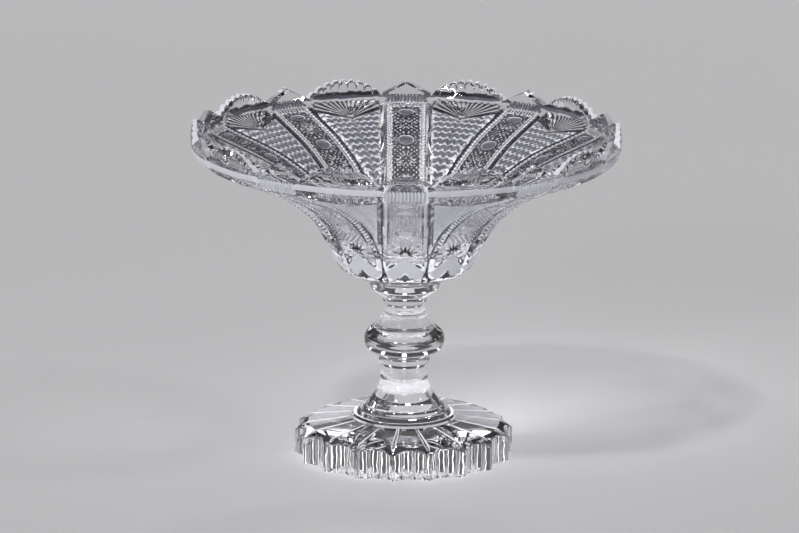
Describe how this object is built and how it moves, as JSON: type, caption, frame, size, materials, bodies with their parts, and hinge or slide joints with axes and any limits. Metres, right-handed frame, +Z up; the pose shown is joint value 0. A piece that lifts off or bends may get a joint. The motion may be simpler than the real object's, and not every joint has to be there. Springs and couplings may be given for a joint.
{
  "type": "footed glass trifle bowl",
  "caption": "Footed cut-glass serving bowl: a flared, deep-cut bowl with a scalloped and pointed rim on a knopped stem and a fluted disc foot.",
  "frame": {"origin": "centre of the foot's underside, on the surface the bowl stands on", "axes": "+Z up along the bowl's and the stem's axis; -Y is the side the picture shows, with a cut strip at its middle; +X to the viewer's right"},
  "size_m": [0.295, 0.295, 0.234],
  "materials": {
    "cut_glass": "polished crystal with frosted cut panels",
    "clear_glass": "polished crystal",
    "bond": "clear cured bond layer"
  },
  "bodies": {
    "root": {"bowl": "cut_glass", "bowl_bond": "bond", "stem": "clear_glass", "foot_bond": "bond", "foot": "clear_glass"}
  },
  "joints": []
}
